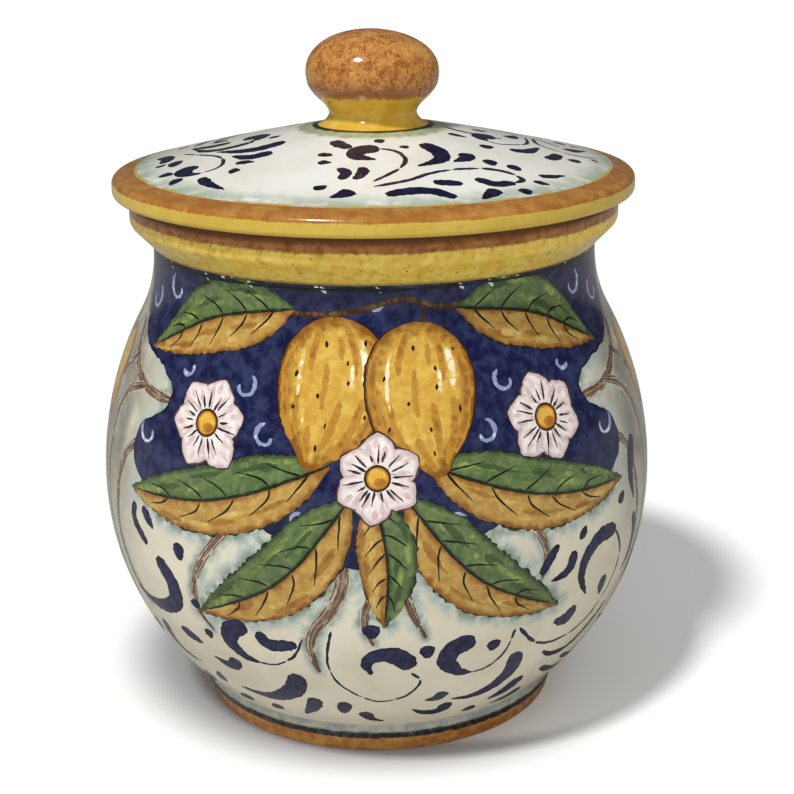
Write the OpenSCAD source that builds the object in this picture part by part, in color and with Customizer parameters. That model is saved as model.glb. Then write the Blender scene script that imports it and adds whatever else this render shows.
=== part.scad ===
// Lidded storage jar of thick glazed earthenware, in millimetres, standing on z = 0.
// Every piece is turned on a wheel, so each is an outline spun about the z axis.

/* [Jar] */
// Height of the mouth, where the lid rests
jar_h = 151; // [140:1:165]
// Radius of the belly at its widest
belly_r = 80; // [76:1:88]
// Height of the widest part of the belly
belly_h = 68; // [60:1:76]
// Outer radius of the neck
neck_r = 62.8; // [59:0.2:66]
// Thickness of the thrown wall
wall_t = 5.5; // [4:0.5:7]
// Thickness of the floor
floor_t = 6.5; // [5:0.5:9]
// Radius of the cove where the floor turns up into the wall
floor_cove_r = 12; // [6:1:18]

/* [Collar] */
// Height of the thickened collar under the lid
collar_h = 14; // [11:0.5:17]
// How far the collar stands out from the neck
collar_lip = 6.2; // [5:0.2:8]
// Height of the collar's sloping underside
collar_slope_h = 6.5; // [5:0.5:8]
// Radius of the collar's rounded outer edges
collar_edge_r = 2.6; // [1.6:0.2:3.4]
// Radius of the rounded inner edge of the mouth
mouth_edge_r = 1.4; // [0.8:0.2:2]
// Height over which the wall stands straight below the collar
neck_straight_h = 2; // [1:0.5:4]

/* [Foot] */
// Outer radius of the foot where it meets the table
foot_r = 52; // [46:1:56]
// How far the foot widens up to the crease under the belly
foot_flare = 2.6; // [1.6:0.2:4]
// Height of the crease where the belly springs from the foot
foot_h = 9.5; // [8:0.5:12]
// Height of the foot ring
foot_ring_h = 5; // [4:0.5:6]
// Width of the foot ring's standing face
foot_ring_t = 8; // [6:0.5:11]
// Radius of the foot ring's lower edges
foot_edge_r = 0.8; // [0.4:0.2:1.4]

/* [Lid] */
// How far the lid's rim stands out past the collar
lid_overhang = 4.4; // [3:0.2:7]
// Height of the lid's rim
lid_edge_h = 5; // [4:0.5:7]
// Radius of the rim's rounded upper edge
lid_edge_r = 2.2; // [1.4:0.2:2.6]
// Radius of the rim's rounded lower edge
lid_under_edge_r = 1.4; // [0.8:0.2:1.8]
// Rise of the lid from its rim to the knob's seat
lid_rise = 12.7; // [10:0.5:18]
// How far the lid's top bows above a straight cone
lid_bow = 0.5; // [0.2:0.1:2]
// Thickness of the lid's plate
lid_t = 5.5; // [4.5:0.5:7]

/* [Locating ring] */
// Depth of the ring that drops into the mouth
ring_drop = 12; // [8:1:18]
// Thickness of the ring
ring_t = 4.5; // [3.5:0.5:6]
// Running gap between the ring and the mouth, all round
ring_gap = 1.1; // [0.8:0.1:1.8]
// Radius of the ring's lower edges
ring_edge_r = 1.2; // [0.6:0.2:1.6]

/* [Knob] */
// Height of the knob above its seat on the lid
knob_h = 26; // [22:1:32]
// Radius of the knob's cap
knob_r = 18.7; // [17:0.5:22]
// Radius of the knob's waist
knob_waist_r = 12.3; // [10:0.5:14]
// Radius of the knob's spread base
knob_base_r = 15.6; // [14.5:0.5:17]

/* [Hidden] */

$fn = 96;
// Steps in a long curve of an outline, in a rounded edge and between two points of a smoothed curve
curve_steps = 12;
edge_steps = 4;
smooth_steps = 4;

mouth_r = neck_r - wall_t;
collar_r = neck_r + collar_lip;
collar_base_z = jar_h - collar_h;
neck_z = collar_base_z - neck_straight_h;
floor_z = foot_ring_h + floor_t;
crease_r = foot_r + foot_flare;
// The foot ring carries on the slope of the foot above it
foot_joint_r = foot_r + foot_flare * foot_ring_h / foot_h;
foot_inner_r = foot_r - foot_ring_t;

// One arc runs from the crease to the widest part of the belly, with its centre at the belly's height.
lower_drop = belly_h - foot_h;
lower_swell = belly_r - crease_r;
lower_bend_r = (lower_swell * lower_swell + lower_drop * lower_drop) / (2 * lower_swell);
lower_axis_r = belly_r - lower_bend_r;
lower_end_angle = asin(lower_drop / lower_bend_r);

// Two arcs of opposite bend run on to the neck and meet where their slopes agree.
shoulder_bend_share = 0.725;
upper_rise = neck_z - belly_h;
upper_draw = belly_r - neck_r;
both_bends_r = (upper_draw * upper_draw + upper_rise * upper_rise) / (2 * upper_draw);
shoulder_bend_r = shoulder_bend_share * both_bends_r;
neck_bend_r = both_bends_r - shoulder_bend_r;
shoulder_axis_r = belly_r - shoulder_bend_r;
neck_axis_r = neck_r + neck_bend_r;
meeting_angle = asin(upper_rise / both_bends_r);

// The floor's cove is tangent to the floor and to the inside of the lower arc.
cove_z = floor_z + floor_cove_r;
inner_bend_r = lower_bend_r - wall_t;
cove_run_r = inner_bend_r - floor_cove_r;
cove_angle = asin((belly_h - cove_z) / cove_run_r);
cove_axis_r = lower_axis_r + cove_run_r * cos(cove_angle);

lid_r = collar_r + lid_overhang;
lid_shoulder_z = jar_h + lid_edge_h;
knob_seat_z = lid_shoulder_z + lid_rise;
ring_r = mouth_r - ring_gap;
ring_inner_r = ring_r - ring_t;
// The lid's hollow follows its top, one thickness below it.
hollow_r = ring_inner_r - lid_t / 2;
cap_z = knob_seat_z + knob_h;

// Heights on the knob as shares of its height, and swell from waist to cap as shares of that step
waist_height_share = 0.125;
widest_height_share = 0.55;
knob_spread_shares = [[0.36, 0.045]];
knob_swell_shares = [[0.18, 0.215], [0.60, 0.315], [0.91, 0.425]];
// Fullness of the cap's crown: 2 is an ellipse, and more is squarer
crown_fullness = 2.2;

function unit(v) = v / norm(v);

function arc(centre, r, from, to, steps) =
    [for (i = [0 : steps])
        let (a = from + (to - from) * i / steps)
        centre + r * [cos(a), sin(a)]];

// The corner b between a and c, rounded with radius r
function rounded(a, b, c, r) =
    let (
        u = unit(a - b),
        v = unit(c - b),
        half = acos(u * v) / 2,
        centre = b + unit(u + v) * r / sin(half),
        p = b + u * r / tan(half) - centre,
        q = b + v * r / tan(half) - centre,
        from = atan2(p[1], p[0]),
        turn = atan2(q[1], q[0]) - from,
        sweep = turn > 180 ? turn - 360 : turn < -180 ? turn + 360 : turn
    )
    arc(centre, r, from, from + sweep, edge_steps);

// A smooth curve through points, which starts and ends at the first and the last
function smooth(points) =
    let (last = len(points) - 1)
    [for (i = [0 : last - 1], s = [0 : smooth_steps - 1])
        let (
            t = s / smooth_steps,
            p0 = points[max(i - 1, 0)],
            p1 = points[i],
            p2 = points[i + 1],
            p3 = points[min(i + 2, last)]
        )
        (2 * p1 + (p2 - p0) * t + (2 * p0 - 5 * p1 + 4 * p2 - p3) * pow(t, 2)
            + (3 * p1 - p0 - 3 * p2 + p3) * pow(t, 3)) / 2];

// A height on the lid's top at radius r: a cone from rim to knob seat, bowed upwards
function lid_top_z(r) =
    let (along = (lid_r - r) / (lid_r - knob_base_r))
    lid_shoulder_z + lid_rise * along + 4 * lid_bow * along * (1 - along);

// From the base joint up the outside of the pot to the neck
function pot_outside() = concat(
    [[foot_joint_r, foot_ring_h]],
    arc([lower_axis_r, belly_h], lower_bend_r, -lower_end_angle, 0, curve_steps),
    arc([shoulder_axis_r, belly_h], shoulder_bend_r, 0, meeting_angle, curve_steps),
    arc([neck_axis_r, neck_z], neck_bend_r, meeting_angle - 180, -180, edge_steps * 2)
);

// Over the collar and its rounded edges, from the crease above the neck to the bore of the mouth
function collar_outline() =
    let (
        crease = [neck_r, collar_base_z],
        lower = [collar_r, collar_base_z + collar_slope_h],
        upper = [collar_r, jar_h],
        inner = [mouth_r, jar_h],
        bore = [mouth_r, neck_z]
    )
    concat(
        [crease],
        rounded(crease, lower, upper, collar_edge_r),
        rounded(lower, upper, inner, collar_edge_r),
        rounded(upper, inner, bore, mouth_edge_r)
    );

// Down the inside of the pot to the middle of the floor, one wall thickness inside the outside
function pot_inside() = concat(
    arc([neck_axis_r, neck_z], neck_bend_r + wall_t, -180, meeting_angle - 180, edge_steps * 2),
    arc([shoulder_axis_r, belly_h], shoulder_bend_r - wall_t, meeting_angle, 0, curve_steps),
    arc([lower_axis_r, belly_h], inner_bend_r, 0, -cove_angle, curve_steps),
    arc([cove_axis_r, cove_z], floor_cove_r, -cove_angle, -90, edge_steps * 2),
    [[0, floor_z]]
);

module jar_body() {
    color("ivory")
    rotate_extrude()
    polygon(concat([[0, foot_ring_h]], pot_outside(), collar_outline(), pot_inside()));
}

module foot_ring() {
    top_outer = [foot_joint_r, foot_ring_h];
    top_inner = [foot_inner_r, foot_ring_h];
    outer = [foot_r, 0];
    inner = [foot_inner_r, 0];
    color("peru")
    rotate_extrude()
    polygon(concat(
        [top_inner],
        rounded(top_inner, inner, outer, foot_edge_r),
        rounded(inner, outer, top_outer, foot_edge_r),
        [top_outer]
    ));
}

module lid() {
    seat = [ring_inner_r, jar_h];
    under = [lid_r, jar_h];
    shoulder = [lid_r, lid_shoulder_z];
    // The rounded rim runs into the top two edge radii in from the side
    top_start_r = lid_r - 2 * lid_edge_r;
    color("goldenrod")
    rotate_extrude()
    polygon(concat(
        rounded(seat, under, shoulder, lid_under_edge_r),
        rounded(under, shoulder, [top_start_r, lid_top_z(top_start_r)], lid_edge_r),
        [for (i = [0 : curve_steps])
            let (r = top_start_r + (knob_base_r - top_start_r) * i / curve_steps)
            [r, lid_top_z(r)]],
        [[0, knob_seat_z], [0, knob_seat_z - lid_t], [knob_base_r, knob_seat_z - lid_t]],
        [for (i = [1 : curve_steps])
            let (r = knob_base_r + (hollow_r - knob_base_r) * i / curve_steps)
            [r, lid_top_z(r) - lid_t]],
        [seat]
    ));
}

module lid_locating_ring() {
    top_outer = [ring_r, jar_h];
    top_inner = [ring_inner_r, jar_h];
    outer = [ring_r, jar_h - ring_drop];
    inner = [ring_inner_r, jar_h - ring_drop];
    color("wheat")
    rotate_extrude()
    polygon(concat(
        [top_inner],
        rounded(top_inner, inner, outer, ring_edge_r),
        rounded(inner, outer, top_outer, ring_edge_r),
        [top_outer]
    ));
}

module lid_knob() {
    swell = knob_r - knob_waist_r;
    spread = knob_base_r - knob_waist_r;
    widest_z = knob_seat_z + knob_h * widest_height_share;
    crown_h = cap_z - widest_z;
    stem = concat(
        [[knob_base_r, knob_seat_z]],
        [for (s = knob_spread_shares) [knob_waist_r + spread * s[0], knob_seat_z + knob_h * s[1]]],
        [[knob_waist_r, knob_seat_z + knob_h * waist_height_share]],
        [for (s = knob_swell_shares) [knob_waist_r + swell * s[0], knob_seat_z + knob_h * s[1]]],
        [[knob_r, widest_z]]
    );
    color("chocolate")
    rotate_extrude()
    polygon(concat(
        [[0, knob_seat_z]],
        smooth(stem),
        [for (i = [0 : curve_steps])
            let (a = 90 * i / curve_steps)
            [knob_r * pow(cos(a), 2 / crown_fullness), widest_z + crown_h * pow(sin(a), 2 / crown_fullness)]]
    ));
}

jar_body();
foot_ring();
lid();
lid_locating_ring();
lid_knob();
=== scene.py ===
import random
from bisect import bisect_right
from math import acos, asin, atan2, ceil, cos, degrees, hypot, pi, radians, sin, tan

import bmesh
import bpy
import numpy as np
from mathutils import Matrix, Vector
from mathutils.geometry import delaunay_2d_cdt


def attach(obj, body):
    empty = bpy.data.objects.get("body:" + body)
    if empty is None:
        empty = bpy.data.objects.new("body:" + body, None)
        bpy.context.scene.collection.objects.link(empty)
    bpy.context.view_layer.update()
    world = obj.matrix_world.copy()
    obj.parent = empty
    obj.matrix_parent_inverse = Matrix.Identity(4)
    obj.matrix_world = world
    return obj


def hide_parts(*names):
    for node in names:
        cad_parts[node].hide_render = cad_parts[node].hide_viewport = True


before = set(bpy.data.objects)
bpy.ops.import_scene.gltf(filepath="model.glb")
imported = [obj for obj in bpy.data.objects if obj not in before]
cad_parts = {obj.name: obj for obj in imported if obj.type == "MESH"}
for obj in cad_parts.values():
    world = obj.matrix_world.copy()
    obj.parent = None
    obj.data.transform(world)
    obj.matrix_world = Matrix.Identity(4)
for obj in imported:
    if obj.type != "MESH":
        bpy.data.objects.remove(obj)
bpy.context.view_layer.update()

# Sizes are millimetres until a mesh is made, and heights are above the table
MM = 0.001
rng = random.Random(7)

# Pot
JAR_H = 151.0
BELLY_R = 80.0
BELLY_H = 68.0
NECK_R = 62.8
NECK_Z = 135.0
WALL_T = 5.5
FLOOR_Z = 11.5
FLOOR_COVE_R = 12.0
SHOULDER_BEND_SHARE = 0.725
COLLAR_BASE_Z = 137.0
COLLAR_R = 69.0
COLLAR_SLOPE_H = 6.5
COLLAR_EDGE_R = 2.6
MOUTH_EDGE_R = 1.4
MOUTH_R = NECK_R - WALL_T

# Foot
FOOT_H = 9.5
CREASE_R = 54.6
FOOT_R = 52.0
FOOT_RING_H = 5.0
FOOT_JOINT_R = FOOT_R + (CREASE_R - FOOT_R) * FOOT_RING_H / FOOT_H
FOOT_INNER_R = 44.0
FOOT_EDGE_R = 0.8

# Lid, its locating ring and its knob
LID_R = 73.4
LID_SHOULDER_Z = 156.0
LID_RISE = 12.7
LID_BOW = 0.5
LID_T = 5.5
LID_EDGE_R = 2.2
LID_UNDER_EDGE_R = 1.4
LID_PAINT_R = 67.1
RING_R = 56.2
RING_T = 4.5
RING_DROP = 12.0
RING_EDGE_R = 1.2
KNOB_SEAT_Z = LID_SHOULDER_Z + LID_RISE
KNOB_H = 26.0
KNOB_R = 18.7
KNOB_WAIST_R = 12.3
KNOB_BASE_R = 15.6
KNOB_WIDEST_SHARE = 0.55
KNOB_CROWN_POWER = 2 / 2.2

# Spacing of the points that carry the painted skins, and of the steps round a turned piece
SKIN_STEP = 1.8
TURN_STEPS = 144


# Outlines of the turned pieces, as points (radius, height)

def arc(centre, radius, start, end, steps):
    """Points on an arc of an outline, its angles in degrees."""
    turns = [radians(start + (end - start) * i / steps) for i in range(steps + 1)]
    return [(centre[0] + radius * cos(a), centre[1] + radius * sin(a)) for a in turns]


def rounded(before, corner, after, radius, steps=6):
    """The corner between two points of an outline, rounded."""
    u = Vector((before[0] - corner[0], before[1] - corner[1])).normalized()
    v = Vector((after[0] - corner[0], after[1] - corner[1])).normalized()
    half = acos(u.dot(v)) / 2
    centre = Vector(corner) + (u + v).normalized() * radius / sin(half)
    p = Vector(corner) + u * radius / tan(half) - centre
    q = Vector(corner) + v * radius / tan(half) - centre
    start = degrees(atan2(p.y, p.x))
    sweep = (degrees(atan2(q.y, q.x)) - start + 180) % 360 - 180
    return arc(centre, radius, start, start + sweep, steps)


def curve(points, steps=6):
    """A smooth line through points."""
    last = len(points) - 1
    out = []
    for i in range(last):
        p0, p1, p2, p3 = points[max(i - 1, 0)], points[i], points[i + 1], points[min(i + 2, last)]
        for k in range(steps):
            t = k / steps
            out.append(tuple(
                (2 * p1[j] + (p2[j] - p0[j]) * t + (2 * p0[j] - 5 * p1[j] + 4 * p2[j] - p3[j]) * t ** 2
                 + (3 * p1[j] - p0[j] - 3 * p2[j] + p3[j]) * t ** 3) / 2
                for j in (0, 1)
            ))
    return out + [tuple(points[-1])]


LOWER_SWELL = BELLY_R - CREASE_R
LOWER_DROP = BELLY_H - FOOT_H
LOWER_BEND_R = (LOWER_SWELL ** 2 + LOWER_DROP ** 2) / (2 * LOWER_SWELL)
UPPER_DRAW = BELLY_R - NECK_R
UPPER_RISE = NECK_Z - BELLY_H
BOTH_BENDS_R = (UPPER_DRAW ** 2 + UPPER_RISE ** 2) / (2 * UPPER_DRAW)
SHOULDER_BEND_R = SHOULDER_BEND_SHARE * BOTH_BENDS_R
NECK_BEND_R = BOTH_BENDS_R - SHOULDER_BEND_R
MEETING_ANGLE = degrees(asin(UPPER_RISE / BOTH_BENDS_R))
LOWER_CENTRE = (BELLY_R - LOWER_BEND_R, BELLY_H)
SHOULDER_CENTRE = (BELLY_R - SHOULDER_BEND_R, BELLY_H)
NECK_CENTRE = (NECK_R + NECK_BEND_R, NECK_Z)


def pot_outside():
    """From the crease over the foot up to the collar."""
    lower_end = degrees(asin(LOWER_DROP / LOWER_BEND_R))
    return (
        arc(LOWER_CENTRE, LOWER_BEND_R, -lower_end, 0, 60)
        + arc(SHOULDER_CENTRE, SHOULDER_BEND_R, 0, MEETING_ANGLE, 60)[1:]
        + arc(NECK_CENTRE, NECK_BEND_R, MEETING_ANGLE - 180, -180, 20)[1:]
        + [(NECK_R, COLLAR_BASE_Z)]
    )


def collar_outline():
    """Over the collar, from the neck to the bore of the mouth."""
    crease, lower = (NECK_R, COLLAR_BASE_Z), (COLLAR_R, COLLAR_BASE_Z + COLLAR_SLOPE_H)
    upper, inner, bore = (COLLAR_R, JAR_H), (MOUTH_R, JAR_H), (MOUTH_R, NECK_Z)
    return (
        rounded(crease, lower, upper, COLLAR_EDGE_R)
        + rounded(lower, upper, inner, COLLAR_EDGE_R)
        + rounded(upper, inner, bore, MOUTH_EDGE_R)
    )


def pot_inside():
    """Down the inside of the wall to the middle of the floor."""
    cove_z = FLOOR_Z + FLOOR_COVE_R
    inner_bend_r = LOWER_BEND_R - WALL_T
    cove_run_r = inner_bend_r - FLOOR_COVE_R
    cove_angle = degrees(asin((BELLY_H - cove_z) / cove_run_r))
    cove_centre = (LOWER_CENTRE[0] + cove_run_r * cos(radians(cove_angle)), cove_z)
    return (
        arc(NECK_CENTRE, NECK_BEND_R + WALL_T, -180, MEETING_ANGLE - 180, 6)
        + arc(SHOULDER_CENTRE, SHOULDER_BEND_R - WALL_T, MEETING_ANGLE, 0, 12)[1:]
        + arc(LOWER_CENTRE, inner_bend_r, 0, -cove_angle, 12)[1:]
        + arc(cove_centre, FLOOR_COVE_R, -cove_angle, -90, 6)[1:]
        + [(0, FLOOR_Z)]
    )


def pot_base():
    """Down the foot from its crease to the ring under it, and in under the floor."""
    return [(radius, FOOT_RING_H) for radius in (FOOT_JOINT_R, FOOT_INNER_R, FOOT_INNER_R / 2, 0)]


def ring_outline(outer_top, outer_foot, inner, top, foot, edge_r):
    """A ring's section, with its lower edges rounded."""
    corners = [(inner, top), (inner, foot), (outer_foot, foot), (outer_top, top)]
    edges = rounded(*corners[:3], edge_r) + rounded(*corners[1:], edge_r)
    return [corners[0], *edges, corners[3], corners[0]]


def lid_top_z(r):
    """Height of the lid's top at a radius: a cone, bowed a little upwards."""
    along = (LID_R - r) / (LID_R - KNOB_BASE_R)
    return LID_SHOULDER_Z + LID_RISE * along + 4 * LID_BOW * along * (1 - along)


def lid_rim():
    """From the painted top over the rim, and in under the lid to its middle."""
    seat = (RING_R - RING_T, JAR_H)
    under, shoulder = (LID_R, JAR_H), (LID_R, LID_SHOULDER_Z)
    top_r = LID_R - 2 * LID_EDGE_R
    hollow_r = seat[0] - LID_T / 2
    hollow = [hollow_r + (KNOB_BASE_R - hollow_r) * i / 8 for i in range(9)]
    return (
        [(r, lid_top_z(r)) for r in (LID_PAINT_R + 1.5, LID_PAINT_R + 3.1)]
        + rounded((top_r, lid_top_z(top_r)), shoulder, under, LID_EDGE_R, 8)
        + rounded(shoulder, under, seat, LID_UNDER_EDGE_R)
        + [seat]
        + [(r, lid_top_z(r) - LID_T) for r in hollow]
        + [(0, KNOB_SEAT_Z - LID_T)]
    )


def knob_outline():
    """Up the knob from its seat: a spread base, a waist and a flattened cap."""
    swell, spread = KNOB_R - KNOB_WAIST_R, KNOB_BASE_R - KNOB_WAIST_R
    widest_z = KNOB_SEAT_Z + KNOB_WIDEST_SHARE * KNOB_H
    crown_h = KNOB_SEAT_Z + KNOB_H - widest_z
    flare = [(KNOB_BASE_R, KNOB_SEAT_Z), (KNOB_WAIST_R + 0.36 * spread, KNOB_SEAT_Z + 0.045 * KNOB_H)]
    cap = [
        (KNOB_WAIST_R + out * swell, KNOB_SEAT_Z + up * KNOB_H)
        for out, up in ((0, 0.125), (0.18, 0.215), (0.60, 0.315), (0.91, 0.425))
    ]
    crown = [
        (KNOB_R * cos(a) ** KNOB_CROWN_POWER, widest_z + crown_h * sin(a) ** KNOB_CROWN_POWER)
        for a in (pi / 2 * i / 24 for i in range(1, 24))
    ]
    side = curve([*flare, *cap, (KNOB_R, widest_z)])
    return [(0, KNOB_SEAT_Z), *side, *crown, (0, widest_z + crown_h)]


# Brush marks. A place is (a, b): on the pot degrees from the front, to the viewer's right, and
# millimetres up the wall from the foot's crease; on the lid millimetres across and back from its middle

class Wall:
    """The outside of the pot, read by the distance up it."""

    def __init__(self, outline):
        self.outline = outline
        self.reach = [0.0]
        for a, b in zip(outline, outline[1:]):
            self.reach.append(self.reach[-1] + hypot(b[0] - a[0], b[1] - a[1]))
        self.length = self.reach[-1]

    def at(self, b):
        """Radius and height at a distance up the wall."""
        b = min(max(b, 0.0), self.length)
        i = min(bisect_right(self.reach, b), len(self.outline) - 1)
        low, high = self.outline[i - 1], self.outline[i]
        t = (b - self.reach[i - 1]) / (self.reach[i] - self.reach[i - 1])
        return low[0] + (high[0] - low[0]) * t, low[1] + (high[1] - low[1]) * t

    def degree(self, b):
        """Millimetres round the pot for one degree."""
        return radians(self.at(b)[0])


WALL = Wall(pot_outside())


def on_lid(b):
    """On the lid both numbers of a place are millimetres."""
    return 1.0


# Along a mark the points of its outline are this far apart, and its edge is this rough
BRUSH_STEP = 1.1
BRUSH_ROUGH = 0.13
# The same for the laden brush, and how much broader it leaves its commas than the tables of them say
LADEN_STEP = 0.8
LADEN_ROUGH = 0.2
LADEN_WIDTH = 1.45
# Half the width of the thinnest mark, and the length of the shortest dash of a broken line
THINNEST_HALF = 0.12
SHORTEST_DASH = 0.8

# Widths along a brush mark, as (share of its length, share of its width)
COMMA = [(0, 0.4), (0.04, 0.74), (0.12, 0.96), (0.3, 1), (0.6, 0.76), (0.85, 0.42), (1, 0.15)]
DAB = [(0, 0.3), (0.14, 0.85), (0.4, 1), (0.7, 0.8), (1, 0.25)]
CURL = [(0, 0.2), (0.1, 0.7), (0.25, 1), (0.45, 0.75), (0.7, 0.6), (0.9, 0.75), (1, 0.5)]
BAR = [(0, 0.4), (0.08, 0.85), (0.3, 1), (0.8, 0.9), (0.94, 0.7), (1, 0.35)]
PETAL = [(0, 0.4), (0.3, 0.8), (0.55, 1), (0.75, 0.84), (0.92, 0.4), (1, 0.05)]
LANCE = [
    (0, 0.05), (0.05, 0.3), (0.13, 0.64), (0.25, 0.92), (0.4, 1), (0.56, 0.95), (0.72, 0.74), (0.87, 0.4),
    (0.95, 0.16), (1, 0.02),
]
STEM = [(0, 0.5), (0.1, 0.95), (0.4, 1), (0.75, 0.7), (1, 0.2)]
CITRUS = [
    (0, 0.14), (0.025, 0.36), (0.08, 0.62), (0.17, 0.83), (0.3, 0.97), (0.45, 1), (0.6, 0.95), (0.72, 0.83),
    (0.82, 0.62), (0.89, 0.38), (0.93, 0.26), (0.97, 0.19), (0.99, 0.13), (1, 0.03),
]

# Marks on a lemon of this width. An offset is 1 at its left side and -1 at its right; starts and ends are
# shares of its length
LEMON_W = 28
# (offset, start, end, width)
LEMON_STREAKS = [
    (0.84, 0.12, 0.88, 2.6), (0.6, 0.5, 0.94, 2.2), (0.42, 0.06, 0.4, 1.8), (0.16, 0.12, 0.3, 1.5),
    (0.2, 0.52, 0.86, 2.2), (-0.12, 0.3, 0.62, 1.6), (-0.3, 0.7, 0.95, 2.0), (-0.42, 0.07, 0.36, 2.0),
    (-0.62, 0.46, 0.8, 1.6), (-0.88, 0.16, 0.86, 2.2),
]
LEMON_LIGHTS = [
    (0.6, 0.15, 0.46, 2.0), (0.36, 0.28, 0.5, 1.3), (-0.62, 0.2, 0.56, 1.2), (-0.46, 0.62, 0.76, 1.1),
    (-0.12, 0.68, 0.76, 1.7),
]
# (offset, start)
LEMON_PORES = [
    (0.74, 0.13), (0.28, 0.27), (0.3, 0.4), (-0.18, 0.13), (-0.24, 0.5), (0.72, 0.55), (0.06, 0.66),
    (-0.66, 0.34), (-0.7, 0.62), (0.0, 0.8),
]
# Dark lines along a stem, as (offset, width)
STEM_STREAKS = [(0.75, 0.42), (0.3, 0.6), (-0.15, 0.5), (-0.7, 0.42)]


def between(table, t):
    """A value read from a table of (share, value)."""
    for (t0, v0), (t1, v1) in zip(table, table[1:]):
        if t <= t1:
            return v0 + (v1 - v0) * (t - t0) / (t1 - t0)
    return table[-1][1]


def step_off(place, scale, across, up):
    """The place some millimetres away from another."""
    return place[0] + across / scale(place[1]), place[1] + up


def distances(line, scale):
    """How far along a line each of its points is."""
    reach = [0.0]
    for a, b in zip(line, line[1:]):
        reach.append(reach[-1] + hypot((b[0] - a[0]) * scale((a[1] + b[1]) / 2), b[1] - a[1]))
    return reach


def evenly(line, scale, step, start=0.0, end=None):
    """Points at even steps along a stretch of a line."""
    reach = distances(line, scale)
    end = reach[-1] if end is None else min(end, reach[-1])
    count = max(2, ceil((end - start) / step))
    out = []
    for k in range(count + 1):
        s = start + (end - start) * k / count
        i = min(max(bisect_right(reach, s), 1), len(line) - 1)
        t = (s - reach[i - 1]) / max(reach[i] - reach[i - 1], 1e-9)
        out.append(tuple(line[i - 1][j] + (line[i][j] - line[i - 1][j]) * t for j in (0, 1)))
    return out


def beside(line, scale, widths, width, offset, rough=0.0, start=0.0, end=1.0):
    """A line beside another for a stretch of it, at an offset of -1 to 1 between the sides of a mark."""
    reach = distances(line, scale)
    out = []
    for i, (a, b) in enumerate(line):
        t = reach[i] / reach[-1]
        if not start <= t <= end:
            continue
        before, after = line[max(i - 1, 0)], line[min(i + 1, len(line) - 1)]
        da, db = (after[0] - before[0]) * scale(b), after[1] - before[1]
        size = hypot(da, db) or 1.0
        half = width / 2 * between(widths, t)
        if rough:
            half = max(half + rng.uniform(-rough, rough), THINNEST_HALF)
        out.append((a - db / size * half * offset / scale(b), b + da / size * half * offset))
    return out


def thinned(line, most=6):
    """A few of a line's points, with both its ends."""
    count = min(most, len(line))
    return [line[round(k * (len(line) - 1) / (count - 1))] for k in range(count)]


def closed_mark(line, scale, widths, width, rough):
    """The outline of a mark that follows a line."""
    left, right = (beside(line, scale, widths, width, side, rough) for side in (1, -1))
    return left + right[::-1]


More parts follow.
